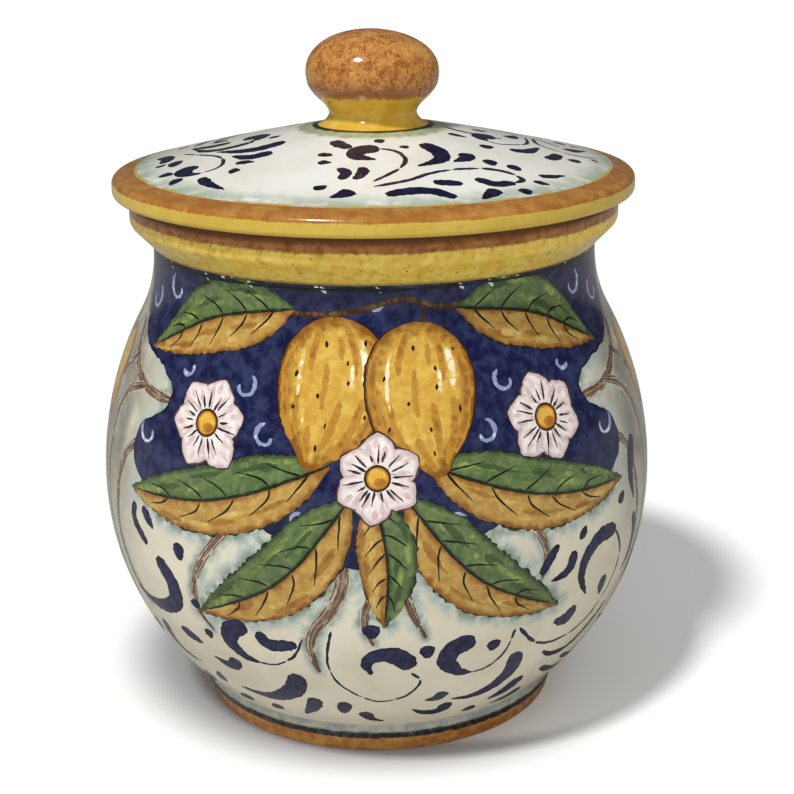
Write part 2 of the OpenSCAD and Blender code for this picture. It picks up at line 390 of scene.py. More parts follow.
class Painting:
    """Marks in the order in which they are painted, as (pigment, outline)."""

    def __init__(self, scale):
        self.scale = scale
        self.marks = []
        self.shaded = []  # (outline, how far the watery shading runs out from it)

    def fill(self, pigment, outline):
        """Fills an outline with a pigment."""
        self.marks.append((pigment, outline))

    def brush(self, pigment, points, width, widths=BAR, rough=BRUSH_ROUGH, step=BRUSH_STEP):
        """One stroke of a brush, through points."""
        line = evenly(curve(points), self.scale, step)
        self.fill(pigment, closed_mark(line, self.scale, widths, width, rough))

    def dry_line(self, pigment, points, width, longest=24.0, gap=0.7):
        """A thin line that a nearly dry brush breaks here and there."""
        line = curve(points)
        total = distances(line, self.scale)[-1]
        at = 0.0
        while at < total - SHORTEST_DASH:
            end = min(at + rng.uniform(0.3, 1) * longest, total)
            dash = evenly(line, self.scale, BRUSH_STEP, at, end)
            dash_width = width * rng.uniform(0.8, 1.15)
            self.fill(pigment, closed_mark(dash, self.scale, BAR, dash_width, BRUSH_ROUGH))
            at = end + rng.uniform(0.1, gap)

    def commas(self, commas, tendrils, turn):
        """Laden commas and the thin tendrils among them, carried round the pot."""
        for width, widths, points in commas:
            wide = LADEN_WIDTH * width
            self.brush("cobalt_stroke", turned(points, turn), wide, widths, LADEN_ROUGH, LADEN_STEP)
        for width, points in tendrils:
            self.dry_line("cobalt_line", turned(points, turn), width)

    def shade(self, outline, reach):
        """Lets the watery shading run out from an outline."""
        self.shaded.append((outline, reach))

    def disc(self, pigment, centre, across, up=None, corners=20):
        """A spot, round or flattened, by its half width and half height."""
        turns = [2 * pi * k / corners for k in range(corners)]
        up = up or across
        spot = [step_off(centre, self.scale, across * cos(a), up * sin(a)) for a in turns]
        self.fill(pigment, spot)

    def bowed(self, base, tip, bow):
        """A line from base to tip that bows to its left."""
        mid = ((base[0] + tip[0]) / 2, (base[1] + tip[1]) / 2)
        da, db = (tip[0] - base[0]) * self.scale(mid[1]), tip[1] - base[1]
        size = hypot(da, db)
        points = [base, step_off(mid, self.scale, -db / size * bow, da / size * bow), tip]
        return evenly(curve(points, 16), self.scale, 1.0)

    def leaf(self, base, tip, width, bow, left, right):
        """A lance leaf in two colours, with its rib, its veins and a rough dark outline."""
        line = self.bowed(base, tip, bow)
        outline = closed_mark(line, self.scale, LANCE, width + 0.8, 0.5)
        self.shade(outline, 4.6)
        self.fill("leaf_line", outline)
        halves = ((left, 1), (right, -1))
        for pigment, side in halves:
            self.fill(pigment, beside(line, self.scale, LANCE, width, side, 0.35) + line[::-1])
        for pigment, side in halves:
            for k in range(9):
                at = 0.1 + 0.08 * k + rng.uniform(-0.02, 0.03)
                offset = side * rng.uniform(0.2, 0.82)
                path = beside(line, self.scale, LANCE, width, offset, 0, at, at + 0.2)
                tone = "_dark" if k % 3 == 1 else "_light"
                self.brush(pigment + tone, thinned(path), rng.uniform(1.1, 2.6), DAB, 0.25)
        for side in (1, -1):
            for k in range(5):
                at = 0.1 + 0.155 * k + rng.uniform(-0.02, 0.02)
                vein = [
                    beside(line, self.scale, LANCE, width, side * share, 0, at + run, at + run + 0.06)[0]
                    for share, run in ((0.06, 0), (0.34, 0.04), (rng.uniform(0.6, 0.78), 0.12))
                ]
                self.brush("leaf_line", vein, 0.62, COMMA, 0.07)
        rib = thinned(line[:int(len(line) * 0.95)])
        self.brush("leaf_line", rib, 0.8, BAR, 0.1)

    def lemon(self, top, tip, width, bow):
        """A lemon in golden yellow, with soft orange streaks, crisp white lights and dark pores."""
        line = self.bowed(top, tip, bow)
        outline = closed_mark(line, self.scale, CITRUS, width + 1.3, 0.2)
        self.shade(outline, 4.0)
        self.fill("fruit_line", outline)
        self.fill("lemon", closed_mark(line, self.scale, CITRUS, width, 0.1))
        layers = (("lemon_shade", LEMON_STREAKS, 0.25), ("lemon_light", LEMON_LIGHTS, 0.18))
        for pigment, marks, rough in layers:
            for offset, start, end, size in marks:
                path = beside(line, self.scale, CITRUS, width, offset, 0, start, end)
                self.brush(pigment, thinned(path), size * width / LEMON_W, BAR, rough * width / LEMON_W)
        size = width / LEMON_W
        for offset, start in LEMON_PORES:
            place = beside(line, self.scale, CITRUS, width, offset, 0, start, 1)[0]
            across, down = rng.uniform(-0.5, 0.5) * size, rng.uniform(1, 1.9) * size
            pore = [place, step_off(place, self.scale, across, -down)]
            self.brush("fruit_line", pore, rng.uniform(0.7, 1.1) * size, DAB, 0.1)

    def star(self, centre, size, turn, petals=6):
        """A white star blossom with pink shading, dark threads and a golden middle."""
        ways = [radians(turn + 360 * k / petals + rng.uniform(-6, 6)) for k in range(petals)]
        reaches = [size / 2 * rng.uniform(0.9, 1.06) for way in ways]
        for grown, pigment in ((0.9, "blossom_line"), (0.0, "blossom")):
            for way, reach in zip(ways, reaches):
                far = reach + grown / 2
                tip = step_off(centre, self.scale, far * cos(way), far * sin(way))
                line = evenly([centre, tip], self.scale, 0.8)
                self.fill(pigment, closed_mark(line, self.scale, PETAL, size * 0.42 + grown, 0.34))
        for way, reach in zip(ways, reaches):
            for lean, start, end in ((0.3, 0.5, 0.82), (-0.28, 0.42, 0.74), (0.06, 0.66, 0.9)):
                ends = self.ray(centre, way + lean, reach * start, reach * end)
                self.brush("blossom_shade", ends, rng.uniform(1.2, 2.0), DAB, 0.25)
        for way in ways:
            for lean in (-0.36, -0.05, 0.3):
                near, far = size * rng.uniform(0.14, 0.19), size * rng.uniform(0.26, 0.4)
                ends = self.ray(centre, way + lean + rng.uniform(-0.1, 0.1), near, far)
                self.brush("blossom_line", ends, rng.uniform(0.5, 0.85), COMMA, 0.1)
        self.disc("fruit_line", centre, size * 0.15)
        self.disc("eye", centre, size * 0.125)
        low = step_off(centre, self.scale, size * 0.03, -size * 0.05)
        self.disc("eye_shade", low, size * 0.075, size * 0.055)
        glint = [
            step_off(centre, self.scale, size * across, size * up)
            for across, up in ((-0.05, 0.03), (0.02, 0.06))
        ]
        self.brush("lemon_light", glint, size * 0.045, DAB, 0.05)

    def ray(self, centre, way, near, far):
        """Two places on a ray from a centre."""
        return [step_off(centre, self.scale, r * cos(way), r * sin(way)) for r in (near, far)]

    def curl(self, centre, size, turn, sweep):
        """A small curl in pale blue, which winds inwards."""
        line = []
        for k in range(9):
            a = radians(turn + sweep * k / 8)
            r = size / 2 * (1 - 0.6 * k / 8)
            line.append(step_off(centre, self.scale, r * cos(a), r * sin(a)))
        self.brush("pale_curl", line, 1.4, CURL, 0.16, 0.7)

    def stem(self, points, width):
        """A watery brown stem, streaked along with broken dark lines."""
        line = evenly(curve(points), self.scale, BRUSH_STEP)
        self.shade(closed_mark(line, self.scale, STEM, width, 0), 2.4)
        self.fill("stem", closed_mark(line, self.scale, STEM, width, 0.45))
        for offset, thickness in STEM_STREAKS:
            path = beside(line, self.scale, STEM, width, offset + rng.uniform(-0.15, 0.15))
            self.dry_line("stem_line", thinned(path, 9), thickness, 18.0, 2.5)


def turned(points, turn):
    """The same places, carried round the pot."""
    return [(turn + a, b) for a, b in points]


# The cobalt ground of the picture, with a scalloped lower edge
GROUND = [
    (-78, 138.2), (-77, 129), (-72, 120), (-64, 113.5), (-54, 110), (-48, 105), (-49, 99), (-56, 93),
    (-57, 83), (-49, 76), (-37, 75), (-28, 78), (-20, 73), (-9, 67), (0, 64.5), (9, 67), (19, 72),
    (28, 77.5), (37, 75), (49, 77), (57, 84), (56, 94), (49, 100), (48, 106), (54, 110), (65, 113),
    (73, 120), (77, 129), (77.5, 138.2),
]
# Watery stems, as (width, places)
STEMS = [
    (4.2, [(-7, 71), (-6.5, 62), (-9, 53), (-13, 45), (-13.5, 38), (-12.5, 31)]),
    (3.2, [(-1.5, 70), (-1.2, 60), (-2.8, 50), (-1.2, 42)]),
    (3.2, [(5, 70), (4.6, 60), (6.5, 51), (9, 44)]),
    (3.4, [(-50, 92), (-60, 84), (-64, 72), (-65, 58), (-62, 46), (-57, 38)]),
    (2.8, [(-27, 76), (-33, 67), (-37.5, 57), (-38.5, 47), (-35.5, 40)]),
    (2.8, [(27, 76), (31.5, 70), (33.5, 63), (32.5, 56)]),
    (3.0, [(50, 92), (60, 85), (64, 74), (66, 60), (64, 47)]),
    (3.4, [(-46, 102), (-56, 102.5), (-65, 107), (-72, 117), (-77, 126)]),
    (3.4, [(46, 102), (56, 102.5), (65, 108), (72, 117), (77, 126)]),
    (3.2, [(-58, 103), (-67, 98), (-70.5, 86), (-71.5, 70), (-70, 54), (-66, 38)]),
    (3.2, [(57, 103.5), (66, 98), (70, 87), (71.5, 72), (70.5, 56), (68, 42)]),
    (2.0, [(-66, 110), (-74, 100), (-76, 88), (-76, 74)]),
    (2.0, [(66, 110), (74, 100), (76, 88), (76, 74)]),
]
# Pale curls, as (centre, width, angle where it starts, angle it turns through)
CURLS = [
    ((-56, 131), 8, 120, 250), ((-68.5, 126), 8, 60, -250), ((-28.5, 110), 7, 60, -250),
    ((-22, 98), 7, 100, 250), ((-52.5, 92), 8, 150, 230), ((-15, 77), 6, 0, 230),
    ((-44, 112), 5, 200, 200), ((-36, 135), 5, 30, 200), ((56.5, 131), 8, 60, -250),
    ((69, 126.5), 8, 120, 250), ((28, 111), 7, 120, 250), ((21.5, 98.5), 7, 80, -250),
    ((52.5, 93), 8, 30, -230), ((15, 76.5), 6, 180, -230), ((44, 112.5), 5, -20, -200),
    ((37, 134.5), 5, 150, -200), ((-1.5, 76), 5, 60, 230), ((0.5, 133), 4, 200, 200),
]
# Twigs over the picture, as (width, places)
TWIGS = [
    (1.7, [(-29, 133.5), (-18, 130), (-5, 131), (6, 134), (16, 131.5), (28, 133.5)]),
    (1.2, [(-11, 131), (-11.5, 128)]),
    (1.2, [(11, 132.5), (11, 127)]),
]
# Leaves, as ([base, tip], width, bow to the left, left half, right half)
LEAVES = [
    ([(-19, 131), (-61, 113.5)], 19, -4, "ochre", "green"),
    ([(19, 131), (60, 114.5)], 19, 4, "green", "ochre"),
    ([(-9, 92), (-57, 75)], 19, 4, "ochre", "green"),
    ([(9, 92), (57, 76)], 19, -4, "green", "ochre"),
    ([(-5, 84), (-38, 45.5)], 19, 6, "ochre", "green"),
    ([(5, 84), (38, 46)], 19, -6, "green", "ochre"),
    ([(-0.5, 84), (1, 48)], 15, 2, "green", "ochre"),
]
# Lemons, as ([top, tip], width, bow)
LEMONS = [
    ([(-9.5, 129.5), (-13.5, 90.5)], 28, 2.5),
    ([(10.5, 128), (12, 88.5)], 28, -2.5),
]
# Star blossoms, as (centre, width, way of the first petal)
STARS = [((-36, 99), 25, 10), ((36, 99.5), 25, 40), ((0, 89), 23, 25)]
# Cobalt commas below the picture, as (width, shape, places from head to tail)
COMMAS = [
    (4.0, COMMA, [(-48.5, 58), (-45, 52), (-45, 46), (-49, 42), (-55, 40.5), (-62, 42.5)]),
    (2.2, BAR, [(-55.5, 71), (-56, 66), (-51.5, 60.5)]),
    (2.4, DAB, [(-52.5, 71), (-49, 66)]),
    (3.0, DAB, [(-41.5, 65), (-41.2, 60)]),
    (2.6, DAB, [(-39, 49), (-38.8, 46)]),
    (2.2, DAB, [(-37.8, 39.5), (-37.2, 36.2)]),
    (2.8, DAB, [(-47, 35.5), (-41, 32.5)]),
    (2.8, COMMA, [(-54.5, 34), (-55.3, 27), (-53, 22.5), (-47, 21)]),
    (4.0, COMMA, [(-27, 44.5), (-30.8, 42), (-32, 37.5), (-29.5, 33), (-26, 31.5)]),
    (2.9, BAR, [(-24.5, 43.5), (-22.5, 39.5), (-16.5, 40.8)]),
    (3.0, COMMA, [(-32.3, 30.3), (-33.6, 27.3), (-36, 26.5), (-39.3, 28)]),
    (4.2, COMMA, [(-17.8, 29), (-20, 21), (-27.5, 14.5), (-36.5, 15.2)]),
    (3.2, COMMA, [(-15.2, 18), (-17, 12), (-20.5, 6)]),
    (3.0, DAB, [(-8.3, 17.3), (-9.3, 10)]),
    (2.6, COMMA, [(-4.2, 11.5), (-2.5, 6.5), (0.8, 4.4)]),
    (3.4, DAB, [(-1.6, 49), (-1.4, 44.5)]),
    (4.2, COMMA, [(6.6, 33.2), (3.6, 37.8), (-0.2, 38.5), (-2.7, 35.5), (-1.7, 31)]),
    (3.0, DAB, [(9.4, 41.2), (9.6, 36.6)]),
    (4.4, COMMA, [(19.2, 41.3), (15, 39), (13.8, 34.5), (16.5, 29.8), (20, 28.3)]),
    (3.0, DAB, [(23.7, 39.8), (23.5, 35.8)]),
    (3.8, COMMA, [(29.7, 32.5), (30.6, 25), (27, 18), (22, 15.5), (17.3, 16)]),
    (3.6, DAB, [(36, 19), (33, 13), (29, 10)]),
    (2.8, COMMA, [(14.8, 20.8), (13.5, 18), (10.5, 17.2)]),
    (3.0, COMMA, [(16.8, 14), (15.6, 9.6), (12, 9), (7.8, 12)]),
    (3.4, COMMA, [(54.5, 62), (48.5, 62.3), (44.5, 58), (43.8, 52), (46.5, 45.5)]),
    (2.0, BAR, [(32.3, 57.5), (34, 61), (36.2, 65)]),
    (2.5, COMMA, [(40.6, 61.5), (39.6, 56.5), (35, 54.5)]),
    (3.0, DAB, [(42.2, 66.5), (43.8, 64.8)]),
    (3.3, COMMA, [(64, 85), (61.8, 79), (61.5, 73), (63, 67)]),
    (3.0, DAB, [(56, 71.5), (57, 68.5)]),
    (2.9, DAB, [(52.3, 48.5), (52.8, 42)]),
    (3.4, DAB, [(43.8, 43), (42, 39.5), (38.3, 40)]),
    (1.5, BAR, [(38.5, 28.5), (43, 25.2), (50, 25.5), (59, 36)]),
    (1.9, COMMA, [(42, 19.5), (48.5, 14.5), (59, 11.5)]),
    (2.4, COMMA, [(63, 62.5), (65, 56), (64, 49), (61.5, 45)]),
    (1.7, COMMA, [(49, 20.5), (56, 16.5), (66, 16)]),
    (1.5, BAR, [(61, 29.5), (65, 25.5), (70, 22)]),
    (3.0, DAB, [(-36.5, 8.5), (-42, 5.5)]),
    (2.6, DAB, [(-27, 8.5), (-30.5, 5.5)]),
    (2.6, DAB, [(26.5, 6.8), (22.8, 5.0)]),
    (3.0, COMMA, [(40, 10), (37, 6.5), (32, 5)]),
    (3.2, COMMA, [(-49, 14), (-53, 9), (-60, 7)]),
    (2.8, DAB, [(-43, 14), (-42, 19.5)]),
    (3.4, COMMA, [(-60, 30), (-64.5, 25), (-66, 17), (-62, 12)]),
]
# Thin tendrils among them, as (width, places)
TENDRILS = [
    (0.9, [(-26, 31.5), (-22, 32), (-17.5, 36.5), (-15.2, 43)]),
    (0.9, [(-9.3, 46.5), (-10.6, 36), (-9, 27), (-4, 20.3), (0.5, 18), (6, 20.8), (8.7, 27), (6.5, 31.2)]),
    (1.0, [(20, 28.3), (23.5, 29.2), (26.8, 34), (28, 42)]),
    (1.0, [(54.5, 61.5), (58, 53), (56.5, 43), (51, 34.5), (43, 31.5), (35, 34), (29, 42)]),
]
# The sprig between the two pictures, its places about the middle of each side
SIDE_STEMS = [
    (2.4, [(0, 136), (-1, 127), (-5, 119), (-11, 115)]),
    (2.4, [(-1, 128), (4, 120), (10, 114)]),
]
SIDE_LEAVES = [([(-1, 128), (2, 92)], 12, 2, "green", "ochre")]
SIDE_LEMONS = [([(-11.5, 116), (-12.5, 88)], 15, 1.5), ([(11.5, 115), (12.5, 87)], 15, -1.5)]
SIDE_COMMAS = [
    (4.2, COMMA, [(1, 31), (-3, 33), (-4.5, 37.5), (-1, 40.5)]),
    (3.4, COMMA, [(11.5, 46), (13.5, 52), (10, 58.5), (3, 61)]),
    (3.0, DAB, [(-12, 51), (-15.5, 56)]),
    (3.0, DAB, [(-4, 53), (-6.5, 58.5)]),
    (3.2, COMMA, [(-19.5, 36), (-21.5, 43), (-20.5, 50)]),
    (2.8, DAB, [(12, 35), (13, 29.5)]),
    (3.6, COMMA, [(11, 24), (7, 19), (-0.5, 17.5), (-7, 20)]),
    (3.0, DAB, [(-10.5, 29), (-7.5, 25.5)]),
    (2.6, DAB, [(18.5, 49), (19, 44)]),
    (3.2, COMMA, [(-15, 14), (-11, 8.5), (-4, 7)]),
    (2.8, DAB, [(5, 11), (8.5, 8)]),
    (2.8, COMMA, [(18, 12), (15, 7), (10.5, 5)]),
    (2.4, DAB, [(-2.5, 12), (0.5, 13)]),
    (3.0, COMMA, [(-2, 83), (-6, 78), (-6.5, 71), (-2, 66.5)]),
    (2.6, DAB, [(4.5, 78), (7, 72)]),
]
SIDE_TENDRILS = [
    (0.9, [(-15.5, 18), (-17, 29), (-13, 40), (-4, 46.5), (4.5, 44), (7, 37), (1, 31)]),
    (0.9, [(15, 15), (18, 25), (17, 36), (11.5, 46)]),
]
# Marks on the front half of the lid; the back half has them turned half round
LID_COMMAS = [
    (3.0, BAR, [(-60, 2), (-57.5, -4), (-58, -10)]),
    (2.2, DAB, [(-59.5, -14), (-57, -12)]),
    (3.0, DAB, [(-54, -11.5), (-54.5, -18)]),
    (4.0, COMMA, [(-47.5, -23), (-50.5, -26), (-49.5, -30), (-45.5, -31.5)]),
    (2.8, DAB, [(-57, -24.5), (-53.5, -27)]),
    (2.6, DAB, [(-51, -32), (-53, -36.5)]),
    (2.3, COMMA, [(-45, -35.5), (-43, -41), (-38, -48)]),
    (2.8, DAB, [(-38, -34.5), (-34.8, -35)]),
    (3.5, COMMA, [(-24, -15.5), (-30, -18), (-36, -17), (-43, -11.5)]),
    (3.4, COMMA, [(-27, -24), (-33, -25), (-38, -20.5)]),
    (2.2, DAB, [(-36.5, -28), (-31.5, -30)]),
    (2.4, COMMA, [(-33, -8), (-40, -9.5), (-46.5, -6.5), (-51, 3)]),
    (4.6, COMMA, [(-36.5, -0.5), (-32, -1.5), (-31.5, -5), (-34, -7)]),
    (2.0, DAB, [(-29, -8), (-25.5, -7.5)]),
    (3.2, COMMA, [(-40, -1), (-46, 0), (-52, 5.5)]),
    (2.4, COMMA, [(-41.5, 5.5), (-46.5, 8)]),
    (2.8, BAR, [(-10.5, -21.5), (-9, -25), (-6, -28.3)]),
    (2.2, DAB, [(1, -22), (2.3, -25)]),
    (4.4, COMMA, [(1.5, -29.3), (-3.5, -30.2), (-4.5, -34.5), (0.5, -37)]),
    (2.0, DAB, [(7.5, -26.5), (9, -28.5)]),
    (2.2, DAB, [(-14.5, -31), (-10.8, -33)]),
    (2.2, DAB, [(-14.5, -37), (-11, -38)]),
    (2.2, BAR, [(-9, -42), (-7, -45.5), (-8.3, -49.8)]),
    (2.2, BAR, [(-3, -42), (-2.8, -46), (-4.8, -50)]),
    (2.2, DAB, [(-15, -55), (-11.8, -53)]),
    (3.4, COMMA, [(-5.4, -56.8), (-8, -59), (-11, -60.2)]),
    (3.0, BAR, [(3, -59.6), (9, -57.2), (15, -56.8), (20.3, -60)]),
    (2.6, BAR, [(26, -46.2), (30.5, -48.8), (36, -46.2)]),
    (2.6, BAR, [(15, -51.2), (22.5, -50.6)]),
    (3.8, COMMA, [(13, -23.8), (17.3, -29.5), (17.3, -35.5), (11.5, -41)]),
    (3.2, COMMA, [(24, -28), (24.6, -31.8), (21, -36)]),
    (2.8, DAB, [(30, -30.8), (31.3, -35.3)]),
    (2.8, DAB, [(35.8, -32.5), (38, -36.5)]),
    (2.0, COMMA, [(43, -38), (46.5, -36.8), (50.5, -33.5)]),
    (1.9, DAB, [(41, -43), (45.2, -44)]),
    (2.6, DAB, [(37.8, -49.5), (39, -53.3)]),
    (2.8, COMMA, [(31, -52.3), (29.5, -55.5), (26.8, -59.5)]),
    (1.3, BAR, [(20, -3), (26, -5.3), (36, -5)]),
    (4.8, COMMA, [(34, -5.5), (31, -6), (29.5, -9.5), (31.5, -12)]),
    (2.2, DAB, [(20.5, -11), (25.5, -12)]),
    (2.8, DAB, [(29, -20), (32.5, -17.5)]),
    (2.8, COMMA, [(37, -17.8), (42, -15.5), (46, -7)]),
    (2.6, BAR, [(47, -20), (49.3, -16.5), (51, -11)]),
    (2.6, DAB, [(54, -17.2), (56.3, -13.3)]),
    (3.0, COMMA, [(55, -1), (57, 2.5), (61, 7)]),
    (2.0, DAB, [(60.5, -8.8), (62.5, -7.8)]),
    (2.8, COMMA, [(37.5, 0), (39.5, 3), (40.5, 8)]),
    (2.4, DAB, [(28, 2), (32, 4)]),
]
LID_TENDRILS = [
    (1.1, [(-53, -2.5), (-48, -10), (-42, -18), (-40, -25.5), (-42, -30), (-47, -31.5)]),
    (1.5, [(1.5, -29.3), (6, -31), (8.3, -37), (6, -44), (-0.5, -52)]),
    (1.7, [(0, -54.6), (8, -51), (15, -45), (22, -41), (30, -38.4), (36, -39.8), (38.3, -43.5), (36, -46.2)]),
    (1.2, [(31.5, -12), (34.5, -13), (39, -10), (43, -4), (43.5, 8)]),
    (1.5, [(46, 10), (46, 0), (50, -5.5), (56, -7), (63, -4)]),
]


# Marks nearer than this to the line across the lid's middle come once
LID_SIDES = 10


def paint_picture(painting, turn):
    """Lemons, star blossoms and lance leaves on their cobalt ground."""
    for width, points in STEMS:
        painting.stem(turned(points, turn), width)
    edge = evenly(curve(turned(GROUND, turn)), WALL.degree, 1.6)
    edge = [step_off(place, WALL.degree, rng.uniform(-0.3, 0.3), rng.uniform(-0.3, 0.3)) for place in edge]
    painting.shade(edge, 4.6)
    painting.fill("cobalt", edge)
    for centre, size, way, sweep in CURLS:
        painting.curl(*turned([centre], turn), size, way, sweep)
    for width, points in TWIGS:
        painting.brush("twig", turned(points, turn), width)
    for ends, width, bow, left, right in LEAVES:
        painting.leaf(*turned(ends, turn), width, bow, left, right)
    for ends, width, bow in LEMONS:
        painting.lemon(*turned(ends, turn), width, bow)
    for centre, size, way in STARS:
        painting.star(*turned([centre], turn), size, way)
    painting.commas(COMMAS, TENDRILS, turn)


def paint_side(painting, turn):
    """A sprig of two small lemons on watery stems, between the two pictures."""
    for width, points in SIDE_STEMS:
        painting.stem(turned(points, turn), width)
    for ends, width, bow, left, right in SIDE_LEAVES:
        painting.leaf(*turned(ends, turn), width, bow, left, right)
    for ends, width, bow in SIDE_LEMONS:
        painting.lemon(*turned(ends, turn), width, bow)
    painting.commas(SIDE_COMMAS, SIDE_TENDRILS, turn)


def paint_pot():
    """The picture in front and again behind, the sprigs between, and the rough edge under the collar."""
    painting = Painting(WALL.degree)
    for turn in (0, 180):
        paint_picture(painting, turn)
    for turn in (90, 270):
        paint_side(painting, turn)
    top = WALL.length
    slivers = 90
    for k in range(slivers):
        a = 360 / slivers * k + rng.uniform(-2, 2)
        if rng.random() < 0.35:
            sliver = [(a, top - 0.3), (a + 1.2, top - rng.uniform(0.8, 2.2))]
            painting.brush("bare_glaze", sliver, 1.1, DAB, 0.2)
    under_collar = [(12 * k - 90, top - rng.uniform(0.7, 1.3)) for k in range(31)]
    painting.dry_line("leaf_line", under_collar, 0.9, 30.0)
    return painting


def lid_half(table, half):
    """Marks on the front half of the lid (1), or turned half round onto its back half (-1)."""
    return [
        (*brush, [(half * x, half * y) for x, y in points]) for *brush, points in table
        if half == 1 or abs(points[len(points) // 2][1]) > LID_SIDES
    ]


def paint_lid():
    """Commas and tendrils in front, and again turned half round; those near the sides' middle come once."""
    painting = Painting(on_lid)
    for half in (1, -1):
        for width, widths, points in lid_half(LID_COMMAS, half):
            painting.brush("lid_stroke", points, LADEN_WIDTH * width, widths, LADEN_ROUGH, LADEN_STEP)
        for width, points in lid_half(LID_TENDRILS, half):
            painting.dry_line("cobalt_line", points, width)
    return painting


# Painted skins: a flat sheet of points is cut along every brush mark, then laid on its surface

# The pot's sheet has this many millimetres for each degree round, as at a radius between the belly's and
# the foot's, and is cut open at this angle
SHEET_DEGREE = 1.25
SHEET_CUT = -112.0
# Shading is looked for this many degrees round from the middle of a mark, at this many places at a time
SHADING_SEARCH = 75
PLACES_AT_ONCE = 4000
# Points in rows keep this far from a round edge; points nearer than this are one; and the ends of an open
# edge lie this near its height
EDGE_CLEAR = 0.8
SAME_POINT = 0.004
AT_EDGE = 0.01


def signed_area(outline):
    """Area inside an outline, which is negative where it runs clockwise."""
    return sum(a[0] * b[1] - b[0] * a[1] for a, b in zip(outline, outline[1:] + outline[:1])) / 2


def cut_sheet(border, rows, outlines):
    """Triangles of a flat sheet inside its border, and the last outline that covers each, or -1."""
    points = list(border) + list(rows)
    faces = [list(range(len(border)))]
    for outline in outlines:
        faces.append(list(range(len(points), len(points) + len(outline))))
        points += outline if signed_area(outline) > 0 else outline[::-1]
    cut = delaunay_2d_cdt([Vector(p) for p in points], [], faces, 0, 1e-5, True)
    places, triangles, covering = cut[0], cut[2], cut[5]
    kept = [(triangle, max(ids) - 1) for triangle, ids in zip(triangles, covering) if 0 in ids]
    places = np.array([tuple(p) for p in places])
    return places, np.array([triangle for triangle, top in kept]), np.array([top for triangle, top in kept])


def nearest(places, outline):
    """Distance of places from an outline."""
    a = np.array(outline)
    run = np.roll(a, -1, 0) - a
    off = places[:, None, :] - a[None]
    share = np.clip((off * run).sum(-1) / np.maximum((run * run).sum(-1), 1e-12), 0, 1)
    return np.sqrt(((off - share[..., None] * run) ** 2).sum(-1)).min(1)


def depths(places, triangles, tops, outlines):
    """How many millimetres each corner of a triangle lies inside the mark that covers it."""
    depth = np.zeros(triangles.shape)
    for k, outline in enumerate(outlines):
        rows = np.nonzero(tops == k)[0]
        if len(rows):
            depth[rows] = nearest(places[triangles[rows]].reshape(-1, 2), outline).reshape(-1, 3)
    return depth


def carry_on(bm, edges, outline, slots):
    """Carries an open round edge on along an outline, ring by ring, with a material for each step."""
    skin = bm.faces.layers.int["skin"]
    for (radius, height), slot in zip(outline, slots):
        made = bmesh.ops.extrude_edge_only(bm, edges=edges)["geom"]
        ring = {v for v in made if isinstance(v, bmesh.types.BMVert)}
        for v in ring:
            scale = radius * MM / hypot(v.co.x, v.co.y)
            v.co = (v.co.x * scale, v.co.y * scale, height * MM)
        for face in (f for f in made if isinstance(f, bmesh.types.BMFace)):
            face.material_index = slot
            face.smooth = True
            face[skin] = 0
        edges = [e for e in made if isinstance(e, bmesh.types.BMEdge) and set(e.verts) <= ring]
        if radius == 0:
            bmesh.ops.pointmerge(bm, verts=list(ring), merge_co=(0, 0, height * MM))
    return edges


def add_object(name, data):
    """A mesh, lamp or camera, put into the scene."""
    added = bpy.data.objects.new(name, data)
    bpy.context.scene.collection.objects.link(added)
    return added


def new_piece(name, bm, materials, body, node):
    """Makes a piece of a finished bmesh, which stands for its solid and rides on the solid's body."""
    mesh = bpy.data.meshes.new(name)
    bm.to_mesh(mesh)
    bm.free()
    for material in materials:
        mesh.materials.append(MATERIALS[material])
    piece = add_object(name, mesh)
    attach(piece, body)
    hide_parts(node)
    return piece


def sheet_mesh(positions, triangles, slots, depth, washes):
    """A bmesh of a painted sheet, which keeps its marks' depth and its washes as attributes."""
    mesh = bpy.data.meshes.new("sheet")
    mesh.from_pydata([tuple(p) for p in positions * MM], [], triangles.tolist())
    mesh.polygons.foreach_set("material_index", slots)
    mesh.polygons.foreach_set("use_smooth", [True] * len(triangles))
    inside = mesh.attributes.new("depth", "FLOAT", "CORNER")
    inside.data.foreach_set("value", depth.astype(np.float32).ravel())
    mesh.attributes.new("skin", "INT", "FACE").data.foreach_set("value", [1] * len(triangles))
    for name, values in washes.items():
        mesh.attributes.new(name, "FLOAT", "POINT").data.foreach_set("value", values.astype(np.float32))
    bm = bmesh.new()
    bm.from_mesh(mesh)
    bpy.data.meshes.remove(mesh)
    return bm


def set_skin_normals(piece, normal_at):
    """Gives the painted skin the normals of the true surface, so that its many triangles don't show."""
    mesh = piece.data
    normals = np.zeros((len(mesh.loops), 3))
    skin = mesh.attributes["skin"].data
    for polygon in mesh.polygons:
        if skin[polygon.index].value:
            for i in polygon.loop_indices:
                normals[i] = normal_at(mesh.vertices[mesh.loops[i].vertex_index].co)
    mesh.attributes.remove(mesh.attributes["skin"])
    mesh.normals_split_custom_set(normals.tolist())


def rim_edges(bm, test):
    """The open edges whose ends both pass a test of their places."""
    return [e for e in bm.edges if e.is_boundary and all(test(v.co) for v in e.verts)]


# Materials. Lengths in them are millimetres

def linear(colour):
    """Linear colour of an sRGB hex value."""
    parts = [int(colour[i:i + 2], 16) / 255 for i in (1, 3, 5)]
    return (*[p / 12.92 if p <= 0.04045 else ((p + 0.055) / 1.055) ** 2.4 for p in parts], 1.0)


